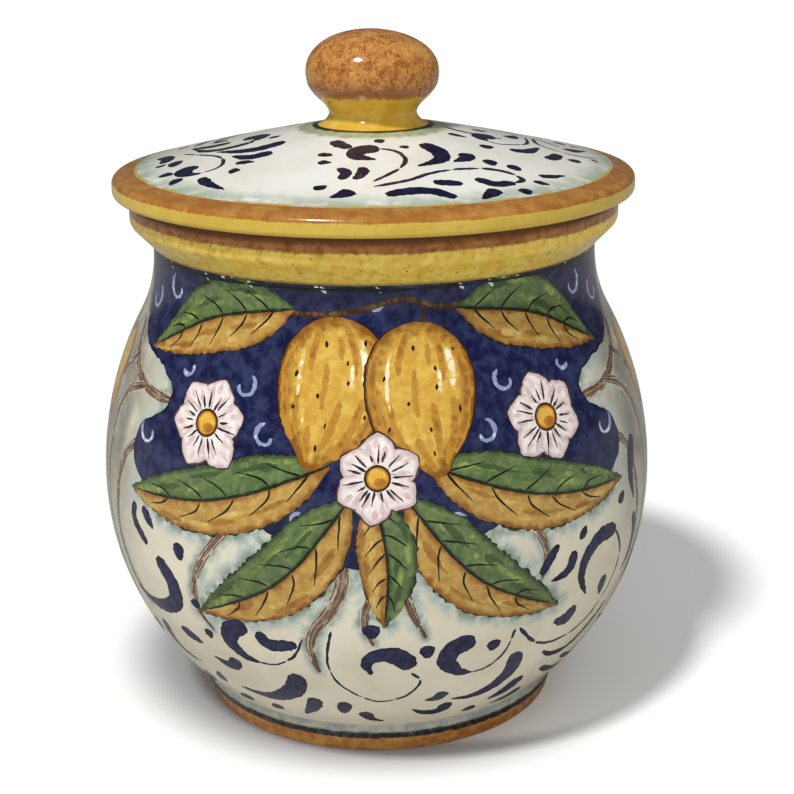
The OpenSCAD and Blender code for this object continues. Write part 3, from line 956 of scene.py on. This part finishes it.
class Nodes:
    """The nodes of a material or of the world."""

    def __init__(self, owner):
        owner.use_nodes = True
        self.owner = owner
        self.tree = owner.node_tree
        self.tree.nodes.clear()

    def add(self, kind, inputs=None, output=0, **settings):
        """Adds a node with its settings, sets or links its inputs, and gives one of its outputs."""
        node = self.tree.nodes.new("ShaderNode" + kind)
        for name, value in settings.items():
            setattr(node, name, value)
        for name, value in (inputs or {}).items():
            if isinstance(value, bpy.types.NodeSocket):
                self.tree.links.new(value, node.inputs[name])
            else:
                node.inputs[name].default_value = linear(value) if isinstance(value, str) else value
        return node.outputs[output] if node.outputs else None

    def seen_by(self, others, glossy, camera):
        """A shader for most rays, with one of its own for glossy rays and one for the camera's."""
        shader = others
        for ray, own in (("Is Glossy Ray", glossy), ("Is Camera Ray", camera)):
            shader = self.add("MixShader", {0: self.add("LightPath", output=ray), 1: shader, 2: own})
        return shader


class Finish(Nodes):
    """A material, which knows each point's place in millimetres. Its colours are hex values or sockets."""

    def __init__(self, name):
        super().__init__(bpy.data.materials.new(name))
        metres = self.add("TexCoord", output="Object")
        self.place = self.add("VectorMath", {0: metres, "Scale": 1 / MM}, operation="SCALE")

    def radius(self, centre=(0, 0)):
        """Distance from an upright line."""
        flat = self.add("VectorMath", {0: self.place, 1: (1, 1, 0)}, operation="MULTIPLY")
        return self.add("VectorMath", {0: flat, 1: (*centre, 0)}, "Value", operation="DISTANCE")

    def patches(self, size, low=0.35, high=0.65, detail=3.0, roughness=0.55):
        """A factor from 0 to 1, in soft patches about size across."""
        pattern = {"Vector": self.place, "Scale": 1 / size, "Detail": detail, "Roughness": roughness}
        reach = {"Value": self.add("TexNoise", pattern), "From Min": low, "From Max": high}
        return self.add("MapRange", reach, interpolation_type="SMOOTHSTEP")

    def mottled(self, colour, other, size, *pattern):
        """A colour that turns to another in soft patches about size across."""
        return self.add("Mix", {0: self.patches(size, *pattern), 6: colour, 7: other}, 2, data_type="RGBA")

    def banded(self, value, colour, *changes):
        """A colour that changes as a value grows; each change is its start, its end and the next colour."""
        for start, end, following in changes:
            reach = {"Value": value, "From Min": start, "From Max": end}
            share = self.add("MapRange", reach, interpolation_type="SMOOTHSTEP")
            colour = self.add("Mix", {0: share, 6: colour, 7: following}, 2, data_type="RGBA")
        return colour

    def wandering(self, value, size, reach):
        """A value whose edges wander by up to reach to either side, as a brushed edge does."""
        noise = self.add("TexNoise", {"Vector": self.place, "Scale": 1 / size, "Detail": 4.0})
        swing = {"Value": noise, "To Min": -2 * reach, "To Max": 2 * reach}
        return self.add("Math", {0: value, 1: self.add("MapRange", swing, clamp=False)}, operation="ADD")

    def relief(self, size, depth, strength, detail, **under):
        """A surface with soft lumps about size across and depth high, on top of any relief under it."""
        lumps = self.add("TexNoise", {"Vector": self.place, "Scale": 1 / size, "Detail": detail})
        return self.add("Bump", {"Strength": strength, "Distance": depth * MM, "Height": lumps, **under})

    def fired(self, colour, normal, roughness, gloss=0.5):
        """Gives the material its colour, relief and polish; IOR 1.5 is that of fired glaze and clay."""
        surface = self.add("BsdfPrincipled", {
            "Base Color": colour, "Roughness": roughness, "IOR": 1.5, "Specular IOR Level": gloss,
            "Normal": normal,
        })
        self.add("OutputMaterial", {"Surface": surface})
        return self.owner

    def glazed(self, colour, roughness=0.16, gloss=0.5):
        """Fired glaze over the colour: a hard clear gloss, with the ripple and pinholes of a dipped coat."""
        ripple = self.relief(14, 1.2, 0.25, 2.0)
        return self.fired(colour, self.relief(1.1, 0.12, 0.12, 2.0, Normal=ripple), roughness, gloss)


def pigment(name, edge, body, light, edge_mm, patch_mm, gloss=0.5):
    """A painted colour under the glaze, which pools along its edge and thins into lighter patches."""
    finish = Finish(name)
    depth = finish.add("Attribute", output="Fac", attribute_name="depth")
    tone = finish.mottled(body, light, patch_mm, 0.38, 0.66, 5.0, 0.65)
    colour = finish.banded(finish.wandering(depth, 2.5, edge_mm / 2), edge, (0.0, edge_mm, tone))
    return finish.glazed(colour, gloss=gloss)


def foot_bands(finish, above):
    """Bands round the foot: orange-brown, a rough black line, and a grey-blue wash up to the belly."""
    height = finish.wandering(finish.add("SeparateXYZ", {0: finish.place}, "Z"), 2.5, 0.35)
    brown = finish.mottled("#A2672E", "#C08A48", 3)
    black = finish.mottled("#1B1C20", "#4B4A48", 1.5, 0.4, 0.75)
    wash = finish.mottled("#989D98", "#B9B9AA", 4)
    return finish.banded(height, brown, (4.3, 4.8, black), (6.3, 7.2, wash), (8.8, 10.6, above))


def tin_glaze():
    """Cream tin glaze on the pot, shaded in watery grey on its sides and blue-green round the pictures."""
    finish = Finish("tin_glaze_cream")
    wash = finish.add("Attribute", output="Fac", attribute_name="wash")
    sides = finish.add("Attribute", output="Fac", attribute_name="side_wash")
    cream = finish.mottled("#EBE4CE", "#E0D8C0", 18)
    grey = finish.mottled(cream, finish.mottled("#84867D", "#999382", 10), 12, 0.15, 0.55, 5.0)
    ground = finish.add("Mix", {0: sides, 6: cream, 7: grey}, 2, data_type="RGBA")
    hatching = finish.add("MapRange", {"Value": finish.patches(3.5, 0.3, 0.65), "To Min": 0.35})
    calmer = finish.add("MapRange", {"Value": sides, "To Min": 1.0, "To Max": 0.2})
    for share in (hatching, calmer):
        wash = finish.add("Math", {0: wash, 1: share}, operation="MULTIPLY")
    colour = finish.banded(wash, ground, (0.05, 0.6, "#B7C3BC"), (0.45, 0.95, "#8C9781"))
    return finish.glazed(foot_bands(finish, colour))


def collar_glaze():
    """Sponged yellow on the collar, brown under the lid with painted shade at its top, flecked where the
    sponge picked the colour up.
    """
    finish = Finish("sponged_yellow_collar")
    yellow = finish.mottled("#EBC44E", "#F5DA6C", 3, 0.35, 0.7)
    yellow = finish.mottled(yellow, "#CDAA44", 2, 0.5, 0.72)
    yellow = finish.mottled(yellow, "#6E451C", 1.5, 0.73, 0.77, 1.0)
    brown = finish.mottled("#8A5224", "#B0763C", 2.5)
    height = finish.wandering(finish.add("SeparateXYZ", {0: finish.place}, "Z"), 9, 0.3)
    # The last band darkens the brown towards the collar's top: painted shade under the lid's rim
    colour = finish.banded(
        finish.wandering(height, 1.0, 0.3), "#4A4530",
        (136.6, 137.1, "#B09040"), (137.2, 138.1, yellow), (146.0, 146.8, brown), (147.6, 149.6, "#6A4022"),
    )
    return finish.glazed(colour, 0.2)


def plain_glaze():
    """Undecorated cream glaze inside the pot and under the lid."""
    finish = Finish("plain_cream_glaze")
    return finish.glazed(finish.mottled("#EFE8D6", "#E4DAC4", 20))


def bare_earthenware():
    """Unglazed fired clay on the standing face and under the floor: matt, sandy pink."""
    finish = Finish("bare_earthenware")
    return finish.fired(finish.mottled("#C99A74", "#B5825C", 1.2), finish.relief(0.6, 0.15, 0.4, 4.0), 0.85)


def foot_glaze():
    """Brushed orange-brown oxide round the foot ring, glossy, with the black line at its top."""
    finish = Finish("orange_brown_foot_band")
    return finish.glazed(foot_bands(finish, "#A3A89F"), 0.22)


def lid_ground():
    """White tin glaze on the lid, washed blue-green inside its rim and grey-green round the knob."""
    finish = Finish("tin_glaze_lid")
    radius = finish.radius()
    colour = finish.mottled("#F4F3EA", "#ECE9DC", 20)
    rim_wash = finish.mottled(colour, "#AFBDAB", 5, 0.2, 0.6)
    colour = finish.banded(finish.wandering(radius, 4, 1.2), colour, (58.0, 66.0, rim_wash))
    knob_wash = finish.mottled("#A3AE88", "#B9BF9C", 3)
    colour = finish.banded(finish.wandering(radius, 3, 0.8), knob_wash, (20.0, 22.5, colour))
    colour = finish.banded(finish.wandering(radius, 3, 0.35), "#24201A", (16.9, 17.5, colour))
    edge = finish.mottled(colour, "#BFA961", 9, 0.35, 0.6)
    return finish.glazed(finish.banded(finish.wandering(radius, 3, 0.4), colour, (65.6, 66.5, edge)))


def rim_glaze():
    """Orange-brown brushed round the lid's rim over yellow, which shows below the edge."""
    finish = Finish("orange_brown_lid_rim")
    brown = finish.mottled(finish.mottled("#A46A2C", "#B98440", 5), "#935C28", 1.4, 0.5, 0.8)
    yellow = finish.mottled(finish.mottled("#D2B046", "#DABB52", 12), "#C2A042", 1.4, 0.6, 0.8)
    height = finish.wandering(finish.add("SeparateXYZ", {0: finish.place}, "Z"), 8, 0.15)
    return finish.glazed(finish.banded(finish.wandering(height, 1.0, 0.15), yellow, (154.6, 155.1, brown)))


def knob_glaze():
    """Rust-brown sponged over golden yellow on the knob's cap, and plain yellow on its waist."""
    finish = Finish("sponged_brown_knob")
    brown = finish.mottled("#9A5C2A", "#CB8C4A", 3, 0.38, 0.6, 6.0, 0.75)
    brown = finish.mottled(brown, "#CF9A50", 8, 0.5, 0.7)
    brown = finish.mottled(brown, "#8A4F24", 0.9, 0.56, 0.68)
    brown = finish.mottled(brown, "#DDA758", 0.7, 0.62, 0.72, 1.0)
    yellow = finish.mottled("#D8AB3E", "#E6BF52", 5)
    height = finish.wandering(finish.add("SeparateXYZ", {0: finish.place}, "Z"), 6, 0.5)
    colour = finish.banded(
        finish.wandering(height, 1.2, 0.4), yellow,
        (176.6, 177.6, "#A86C2C"), (177.4, 178.6, "#96592A"), (178.5, 181.5, brown),
    )
    return finish.glazed(colour, 0.12)


# Each pigment: material's name, colour at its edge, body, lighter patches, width of the edge, size of the
# patches, gloss where it isn't the glaze's own
PIGMENTS = {
    # Cobalt flooded round the picture: deep blue, streaked where the brush overlapped
    "cobalt": ("cobalt_ground", "#080B28", "#14183F", "#34395F", 0.8, 4),
    # Cobalt laid with one touch: nearly black where it pooled, slate violet where it thinned
    "cobalt_stroke": ("cobalt_comma", "#05061A", "#171A39", "#32355E", 0.6, 2),
    # The same on the lid, darker and less glossy, so that it stays blue beside the knob's reflection
    "lid_stroke": ("dark_cobalt_comma", "#04040F", "#0D0E28", "#1D1F44", 0.5, 2, 0.15),
    "cobalt_line": ("cobalt_thin_line", "#14162F", "#20223F", "#34365A", 0.4, 1.5),
    # Cobalt let down with white, for curls picked out on the ground
    "pale_curl": ("pale_blue_curl", "#8E98BE", "#C9D0E4", "#E4E9F4", 0.4, 3),
    # White glaze left bare in slivers, where the brush missed it
    "bare_glaze": ("bare_white_glaze", "#D8D8D0", "#F0EEE4", "#F8F6EE", 0.3, 2),
    # Copper green, mottled like leaves in sun
    "green": ("copper_green_leaf", "#3E5034", "#566C42", "#728652", 1.3, 2.4),
    "green_dark": ("copper_green_shade", "#4A5F39", "#3A5030", "#465D37", 0.9, 2),
    "green_light": ("copper_green_light", "#667A46", "#889A50", "#9CA95E", 0.9, 1.5),
    # Antimony yellow greyed with iron: ochre
    "ochre": ("ochre_leaf", "#8E5C26", "#B58A44", "#CAA65A", 1.8, 3.0),
    "ochre_dark": ("ochre_leaf_shade", "#A87C38", "#92602A", "#A06E30", 0.9, 2),
    "ochre_light": ("ochre_leaf_light", "#BF9A4C", "#D4B264", "#DFC27A", 0.9, 1.5),
    # Antimony yellow over orange: ripe lemon, browner towards its outline
    "lemon": ("golden_lemon", "#8E5A1E", "#CE9E3E", "#E0BA56", 5.0, 3),
    "lemon_shade": ("orange_lemon_streak", "#BE8C36", "#98642A", "#AA7630", 0.9, 3),
    "lemon_light": ("pale_lemon_light", "#DDB85C", "#F2E6BC", "#FAF2D8", 0.3, 2),
    # The same colours in a blossom's golden middle
    "eye": ("golden_blossom_middle", "#A06A22", "#E2A93A", "#F0C65A", 0.8, 1.2),
    "eye_shade": ("orange_blossom_middle", "#C08430", "#A8682A", "#B87A32", 0.4, 1.5),
    # Manganese and iron: the painter's dark lines
    "fruit_line": ("dark_brown_line", "#2E1A0A", "#3E2713", "#553A20", 0.5, 1.5),
    "leaf_line": ("black_green_line", "#14180F", "#23281A", "#3B4028", 0.4, 1.5),
    "blossom_line": ("dark_violet_line", "#2C2226", "#443638", "#6A5850", 0.4, 1.5),
    "twig": ("brown_twig", "#3F2A1A", "#5E4128", "#7A5B3C", 0.5, 2),
    # Tin white tinged with pink
    "blossom": ("pink_white_petal", "#CDB4B4", "#EBDCD8", "#FAF3EE", 1.4, 1.8),
    "blossom_shade": ("pink_petal_shade", "#E0CBC8", "#CFB3B4", "#DCC4C2", 0.6, 1.5),
    # Thin manganese brown, which fades into the cream at its edges
    "stem": ("watery_brown_stem", "#C6BDA6", "#7A5F4C", "#9C8876", 1.4, 2.5),
    "stem_line": ("brown_stem_line", "#6A5040", "#452F24", "#6E5444", 0.3, 2),
}


# Pieces

# How many steps past its painted sheet a piece keeps the colour of its edge, before the plain glaze
COLLAR_PAINTED_STEPS = 16
RIM_PAINTED_STEPS = 17


def laid_flat(marks):
    """The pot's marks on its flat sheet, those that cross the cut laid at both ends of it."""
    laid = []
    for pigment_name, outline in marks:
        for lap in (-360, 0, 360):
            low, high = min(a for a, b in outline) + lap, max(a for a, b in outline) + lap
            if high > SHEET_CUT and low < SHEET_CUT + 360:
                laid.append((pigment_name, [((a + lap) * SHEET_DEGREE, b) for a, b in outline]))
    return laid


def pot_points():
    """Points round the border of the pot's flat sheet, and in rows across it."""
    left, width, top = SHEET_CUT * SHEET_DEGREE, 360 * SHEET_DEGREE, WALL.length
    right = left + width
    across, up = round(width / SKIN_STEP), round(top / SKIN_STEP)
    border = (
        [(left + width * i / across, 0.0) for i in range(across)]
        + [(right, top * j / up) for j in range(up)]
        + [(right - width * i / across, top) for i in range(across)]
        + [(left, top - top * j / up) for j in range(up)]
    )
    rows = [
        (left + width * (i + 0.5 * (j % 2)) / across, top * j / up)
        for j in range(1, up) for i in range(across) if i or j % 2
    ]
    return border, rows


def watery_shading(shaded, places):
    """Shading round the pictures at places on the pot's sheet: 1 at the outlines and 0 out of their reach."""
    wash = np.zeros(len(places))
    for outline, reach in shaded:
        middle = sum(a for a, b in outline) / len(outline)
        here = ((places[:, 0] / SHEET_DEGREE - middle + 180) % 360) - 180
        near = np.nonzero(np.abs(here) < SHADING_SEARCH)[0]
        local = np.stack([here[near] * SHEET_DEGREE, places[near, 1]], 1)
        shape = [((a - middle) * SHEET_DEGREE, b) for a, b in outline]
        for some in np.array_split(np.arange(len(near)), max(1, len(near) // PLACES_AT_ONCE)):
            away = nearest(local[some], shape)
            wash[near[some]] = np.maximum(wash[near[some]], np.clip(1 - away / reach, 0, 1))
    return wash


def grown(values, start, end):
    """From 0 to 1 as values pass from start to end."""
    return np.clip((values - start) / (end - start), 0, 1)


def side_shading(places):
    """Grey on the pot's sides, away from the middles of the pictures and from the foot."""
    turn = np.abs(((places[:, 0] / SHEET_DEGREE) + 90) % 180 - 90)
    return grown(turn, 50, 64) * grown(places[:, 1], 48, 78)


def pot_normals():
    """A function that gives the normal of the pot's outside at a place on it."""
    rise = np.diff(np.array(WALL.outline), axis=0)
    rise /= np.hypot(rise[:, 0], rise[:, 1])[:, None]
    middles = np.array([(a[1] + b[1]) / 2 for a, b in zip(WALL.outline, WALL.outline[1:])])

    def normal_at(co):
        out, up = np.interp(co.z / MM, middles, rise[:, 1]), -np.interp(co.z / MM, middles, rise[:, 0])
        size = hypot(co.x, co.y)
        return (out * co.x / size, out * co.y / size, up)

    return normal_at


def make_pot():
    """The pot: its painted wall, then the collar, the inside and the foot carried on from its edges."""
    painting = paint_pot()
    marks = laid_flat(painting.marks)
    outlines = [outline for pigment_name, outline in marks]
    places, triangles, tops = cut_sheet(*pot_points(), outlines)
    finishes = ["tin_glaze", "collar", "plain", "foot_band", "bare", *PIGMENTS]
    ground, collar_slot, plain, foot_band, bare = range(5)
    slots = [finishes.index(marks[k][0]) if k >= 0 else ground for k in tops]
    angles = np.radians(places[:, 0] / SHEET_DEGREE)
    radii, heights = np.array([WALL.at(b) for b in places[:, 1]]).T
    positions = np.stack([radii * np.sin(angles), -radii * np.cos(angles), heights], 1)
    washes = {"wash": watery_shading(painting.shaded, places), "side_wash": side_shading(places)}
    bm = sheet_mesh(positions, triangles, slots, depths(places, triangles, tops, outlines), washes)
    bmesh.ops.remove_doubles(bm, verts=bm.verts, dist=SAME_POINT * MM)
    foot_edges = rim_edges(bm, lambda co: co.z < (FOOT_H + AT_EDGE) * MM)
    collar_edges = rim_edges(bm, lambda co: co.z > (COLLAR_BASE_Z - AT_EDGE) * MM)
    for edge in foot_edges + collar_edges:
        edge.smooth = False
    collar, inside, base = collar_outline(), pot_inside(), pot_base()
    collar_slots = [collar_slot] * COLLAR_PAINTED_STEPS + [plain] * (len(collar) - COLLAR_PAINTED_STEPS)
    mouth_edges = carry_on(bm, collar_edges, collar, collar_slots)
    carry_on(bm, mouth_edges, inside, [plain] * len(inside))
    carry_on(bm, foot_edges, base, [foot_band] + [bare] * (len(base) - 1))
    bmesh.ops.recalc_face_normals(bm, faces=bm.faces)
    pot = new_piece("pot", bm, finishes, "jar", "jar_body")
    set_skin_normals(pot, pot_normals())


def lid_circle(radius):
    """Points a skin's step apart round the lid."""
    count = round(2 * pi * radius / SKIN_STEP)
    return [(radius * cos(2 * pi * i / count), radius * sin(2 * pi * i / count)) for i in range(count)]


def lid_rows():
    """Points in rows across the lid's top, between its edge and the knob."""
    reach = int(LID_PAINT_R / SKIN_STEP) + 1
    rows = [
        ((i + 0.5 * (j % 2)) * SKIN_STEP, j * SKIN_STEP)
        for i in range(-reach, reach + 1) for j in range(-reach, reach + 1)
    ]
    return [p for p in rows if KNOB_BASE_R + EDGE_CLEAR < hypot(*p) < LID_PAINT_R - EDGE_CLEAR]


def lid_normal(co):
    """The normal of the lid's top at a place on it."""
    r = hypot(co.x, co.y)
    slope = (lid_top_z(r / MM + 0.1) - lid_top_z(r / MM - 0.1)) / 0.2
    return tuple(Vector((-slope * co.x / r, -slope * co.y / r, 1)).normalized())


def make_lid():
    """The lid's plate: its painted top, then the rim, the underside and the hollow carried on from it."""
    painting = paint_lid()
    outlines = [outline for pigment_name, outline in painting.marks] + [lid_circle(KNOB_BASE_R)]
    places, triangles, tops = cut_sheet(lid_circle(LID_PAINT_R), lid_rows(), outlines)
    outside_knob = tops < len(outlines) - 1
    triangles, tops = triangles[outside_knob], tops[outside_knob]
    finishes = ["lid_ground", "rim", "plain", "lid_stroke", "cobalt_line"]
    ground, rim_slot, plain = range(3)
    slots = [finishes.index(painting.marks[k][0]) if k >= 0 else ground for k in tops]
    heights = np.array([lid_top_z(hypot(*p)) for p in places])
    positions = np.stack([places[:, 0], places[:, 1], heights], 1)
    bm = sheet_mesh(positions, triangles, slots, depths(places, triangles, tops, outlines), {})
    bmesh.ops.delete(bm, geom=[v for v in bm.verts if not v.link_faces], context="VERTS")
    middle_r = (LID_PAINT_R + KNOB_BASE_R) / 2 * MM
    outer_edges = rim_edges(bm, lambda co: hypot(co.x, co.y) > middle_r)
    knob_edges = rim_edges(bm, lambda co: hypot(co.x, co.y) < middle_r)
    rim = lid_rim()
    carry_on(bm, outer_edges, rim, [rim_slot] * RIM_PAINTED_STEPS + [plain] * (len(rim) - RIM_PAINTED_STEPS))
    carry_on(bm, knob_edges, [(KNOB_BASE_R / 2, KNOB_SEAT_Z), (0, KNOB_SEAT_Z)], [plain, plain])
    bmesh.ops.recalc_face_normals(bm, faces=bm.faces)
    lid = new_piece("lid_plate", bm, finishes, "lid", "lid")
    set_skin_normals(lid, lid_normal)


def turn_piece(outline):
    """A bmesh of an outline turned about the z axis."""
    bm = bmesh.new()
    verts = [bm.verts.new((radius * MM, 0, height * MM)) for radius, height in outline]
    edges = [bm.edges.new(pair) for pair in zip(verts, verts[1:])]
    bmesh.ops.spin(
        bm, geom=verts + edges, cent=(0, 0, 0), axis=(0, 0, 1), dvec=(0, 0, 0), angle=2 * pi,
        steps=TURN_STEPS, use_merge=True, use_duplicate=False,
    )
    bmesh.ops.remove_doubles(bm, verts=bm.verts, dist=0.002 * MM)
    bmesh.ops.recalc_face_normals(bm, faces=bm.faces)
    for face in bm.faces:
        face.smooth = True
    return bm


def keep_corners(piece):
    """Keeps a ring's corners crisp and the rest of it smooth."""
    piece.data.set_sharp_from_angle(angle=radians(40))


def make_foot_ring():
    """The foot ring, glazed outside and bare clay on its standing face and inside."""
    bm = turn_piece(ring_outline(FOOT_JOINT_R, FOOT_R, FOOT_INNER_R, FOOT_RING_H, 0, FOOT_EDGE_R))
    for face in bm.faces:
        middle = face.calc_center_median()
        standing = middle.z < 0.2 * MM
        inner = hypot(middle.x, middle.y) < (FOOT_INNER_R + 0.5) * MM
        face.material_index = 1 if standing or inner else 0
    keep_corners(new_piece("foot_ring_glazed", bm, ["foot_band", "bare"], "jar", "foot_ring"))


def make_locating_ring():
    """The ring under the lid that drops into the mouth."""
    bm = turn_piece(ring_outline(RING_R, RING_R, RING_R - RING_T, JAR_H, JAR_H - RING_DROP, RING_EDGE_R))
    keep_corners(new_piece("locating_ring_glazed", bm, ["plain"], "lid", "lid_locating_ring"))


def make_knob():
    """The knob, with the flats and slight lean that fingers leave in soft clay."""
    bm = turn_piece(knob_outline())
    neck_share, flat, lean = 0.3, 0.02, 0.5
    cap_start = KNOB_SEAT_Z + neck_share * KNOB_H
    for v in bm.verts:
        up = min(max((v.co.z / MM - cap_start) / ((1 - neck_share) * KNOB_H), 0), 1)
        way = atan2(v.co.y, v.co.x)
        dent = 0.5 + 0.3 * cos(way - 0.4) + 0.2 * cos(2 * way + 1.1)
        v.co.x *= 1 - flat * up * dent
        v.co.y *= 1 - flat * up * dent
        v.co.z -= lean * MM * up ** 2 * (1 + cos(way + 0.2)) * hypot(v.co.x, v.co.y) / (KNOB_R * MM)
    new_piece("knob_glazed", bm, ["knob"], "lid", "lid_knob")


MATERIALS = {
    "tin_glaze": tin_glaze(),
    "collar": collar_glaze(),
    "plain": plain_glaze(),
    "foot_band": foot_glaze(),
    "bare": bare_earthenware(),
    "lid_ground": lid_ground(),
    "rim": rim_glaze(),
    "knob": knob_glaze(),
    **{key: pigment(*settings) for key, settings in PIGMENTS.items()},
}

make_pot()
make_lid()
make_foot_ring()
make_locating_ring()
make_knob()


# Studio. A light's way is the one towards it

KEY_LIGHT = (-0.31, -0.41, 0.86)
FRONT_LIGHT = (0.1, -0.93, 0.3)
OVERHEAD_LIGHT = (-0.05, -0.29, 1.0)


def belly_shadow_centre(way):
    """Middle of the shadow that the belly throws on the table under one light."""
    return [-BELLY_H * part / way[2] for part in way[:2]]


def white_table():
    """A white table that keeps the jar's shadow; the camera sees it white, and the gloss sees it dimmer.

    The photograph also has a second soft shadow, of the belly under a light overhead, as deep by itself as
    the key's and no deeper where both meet. Lamps can't add up to that, so the table is greyed there.
    """
    finish = Finish("white_table")
    key_shadow, overhead_shadow = (
        finish.radius(belly_shadow_centre(way)) for way in (KEY_LIGHT, OVERHEAD_LIGHT)
    )
    shade = finish.banded(key_shadow, "#FFFFFF", (75.5, 83.5, "#959595"))
    colour = finish.banded(overhead_shadow, shade, (67.0, 93.0, "#FFFFFF"))
    bright = finish.add("BsdfDiffuse", {"Color": colour})
    glow = finish.add("Emission", {"Color": "#FFFFFF", "Strength": 0.05})
    cloth = finish.add("BsdfDiffuse", {"Color": "#CFCECB"})
    dim = finish.add("BsdfDiffuse", {"Color": "#9C9B98"})
    seen = finish.add("AddShader", {0: bright, 1: glow})
    finish.add("OutputMaterial", {"Surface": finish.seen_by(cloth, dim, seen)})
    return finish.owner


def make_floor():
    """The table, a square large enough to fill every view."""
    bm = bmesh.new()
    bmesh.ops.create_grid(bm, x_segments=1, y_segments=1, size=4.0)
    mesh = bpy.data.meshes.new("table")
    bm.to_mesh(mesh)
    bm.free()
    mesh.materials.append(white_table())
    add_object("table", mesh)


def white_world():
    """An even pale surround that the camera sees as plain white, and the gloss as a dimmer room."""
    world = bpy.data.worlds.new("white_surround")
    bpy.context.scene.world = world
    nodes = Nodes(world)
    fill, room, backdrop = (
        nodes.add("Background", {"Color": "#FFFFFF", "Strength": strength}) for strength in (0.35, 0.08, 1.0)
    )
    nodes.add("OutputWorld", {"Surface": nodes.seen_by(fill, room, backdrop)})


def far_lamp(name, way, strength, width):
    """A lamp so far away that its light is even; width is how many degrees of the sky it fills."""
    lamp = bpy.data.lights.new(name, "SUN")
    lamp.energy = strength
    lamp.angle = radians(width)
    holder = add_object(name, lamp)
    holder.rotation_mode = "QUATERNION"
    holder.rotation_quaternion = Vector(way).to_track_quat("Z", "Y")
    return holder


def make_camera():
    """The photograph's camera, fitted to the jar's own circles."""
    camera = bpy.data.cameras.new("camera")
    camera.sensor_width = 36.0
    camera.lens = 72.81
    camera.dof.use_dof = False
    camera.clip_start = 0.05
    camera.clip_end = 20.0
    holder = add_object("camera", camera)
    back, height = 453.0, 232.0
    down, aside, tilt = radians(17.64), radians(0.768), radians(-0.476)
    holder.matrix_world = (
        Matrix.Translation((0, -back * MM, height * MM))
        @ Matrix.Rotation(-aside, 4, "Z")
        @ Matrix.Rotation(pi / 2 - down, 4, "X")
        @ Matrix.Rotation(tilt, 4, "Z")
    )
    bpy.context.scene.camera = holder


make_floor()
white_world()
far_lamp("key_upper_left", KEY_LIGHT, 2.2, 7)
far_lamp("front_fill", FRONT_LIGHT, 0.65, 50).visible_glossy = False
make_camera()
bpy.context.scene.view_settings.view_transform = "Standard"
